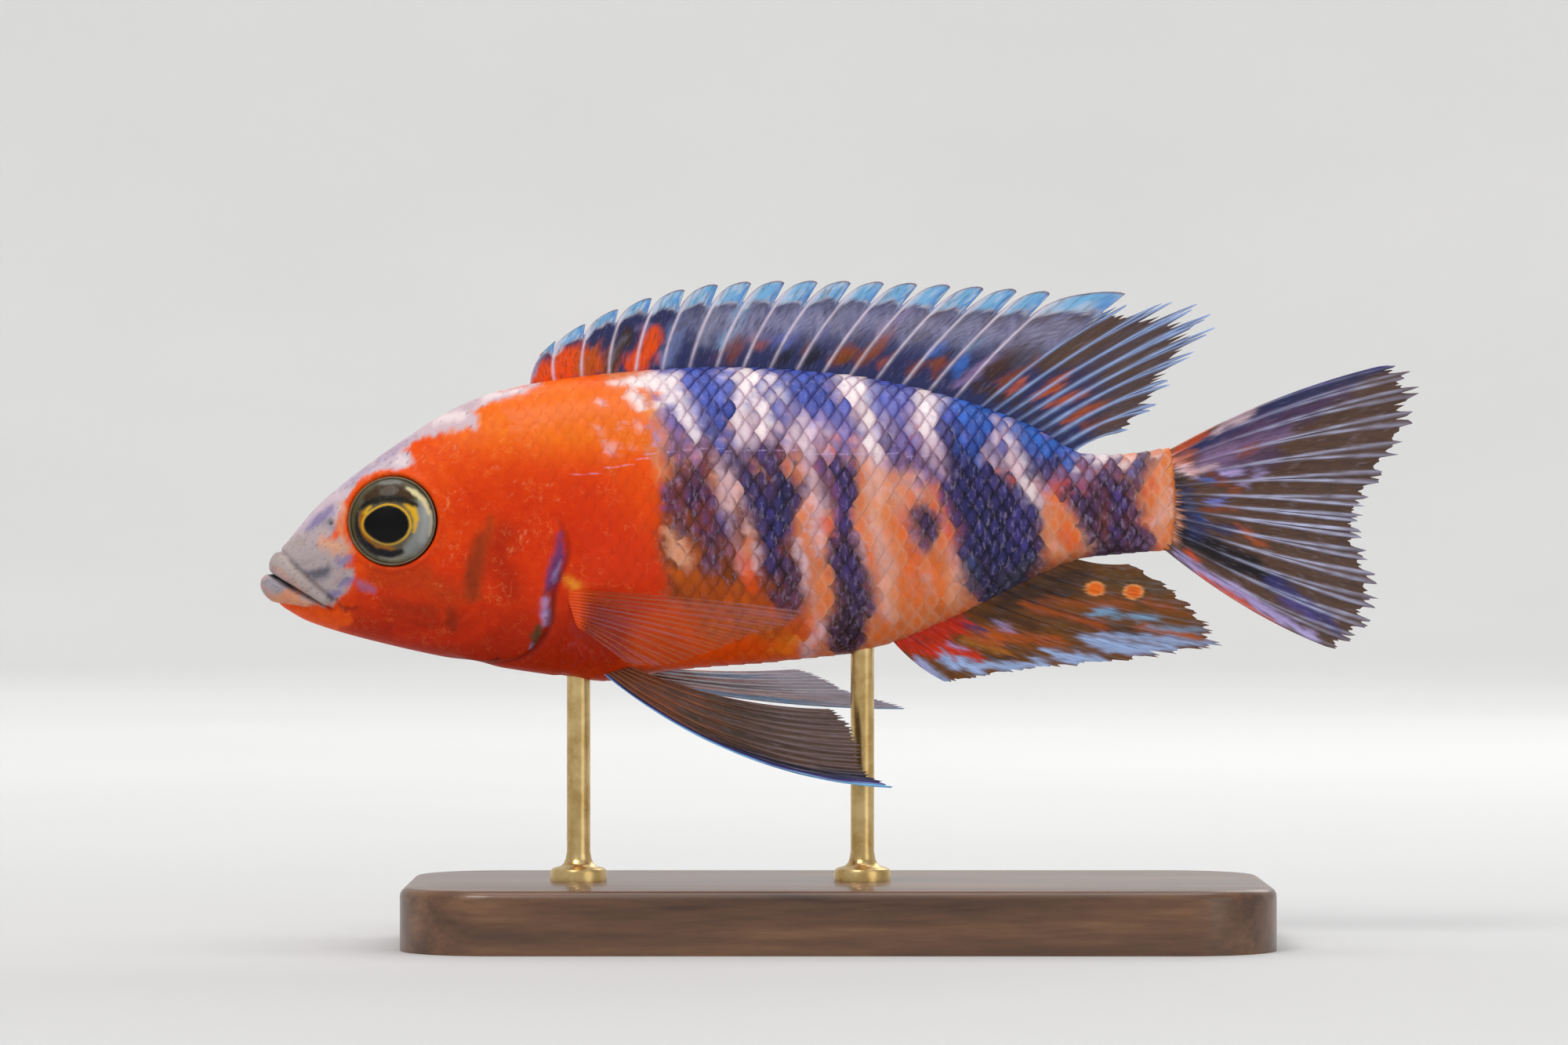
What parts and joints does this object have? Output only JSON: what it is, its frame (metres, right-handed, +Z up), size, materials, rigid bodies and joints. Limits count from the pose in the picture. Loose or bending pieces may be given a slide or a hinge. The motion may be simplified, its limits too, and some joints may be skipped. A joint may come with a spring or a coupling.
{
  "type": "peacock cichlid fish model on stand",
  "caption": "Life-size male peacock cichlid swimming level, fins spread, held by slim rods over a flat display base.",
  "frame": {"origin": "on the floor under the middle of the whole model, at the underside of the base", "axes": "+X from the snout back to the tail, +Y to the fish's right side, +Z up"},
  "size_m": [0.147, 0.052, 0.0844],
  "materials": {
    "head_skin": "wet skin, orange with lilac and grey blotches",
    "jaw_skin": "wet skin, grey-white and peach",
    "gill_skin": "wet scaled skin, orange-red",
    "flank_skin": "overlapping scales, orange with navy, purple and pink-white bars",
    "eye": "glossy, olive-grey iris with a thin gold rim round a black pupil",
    "dorsal_fin": "thin membrane between rays, orange and navy with a light blue edge",
    "caudal_fin": "thin smoky membrane between pale lilac rays",
    "anal_fin": "thin membrane, orange-red and ochre with two egg spots",
    "pelvic_fin": "thin smoky membrane with blue-white leading edges",
    "pectoral_fin": "clear reddish membrane between fine rays",
    "base_wood": "dark stained, satin",
    "rod_brass": "brushed"
  },
  "bodies": {
    "root": {"head": "head_skin", "lower_jaw": "jaw_skin", "gill_cover_left": "gill_skin", "gill_cover_right": "gill_skin", "trunk": "flank_skin", "tail_stem": "flank_skin", "eye_left": "eye", "eye_right": "eye", "dorsal_fin": "dorsal_fin", "caudal_fin": "caudal_fin", "anal_fin": "anal_fin", "pelvic_fin_left": "pelvic_fin", "pelvic_fin_right": "pelvic_fin", "pectoral_fin_left": "pectoral_fin", "pectoral_fin_right": "pectoral_fin", "stand_base": "base_wood", "stand_rod_front": "rod_brass", "stand_rod_rear": "rod_brass"}
  },
  "joints": []
}
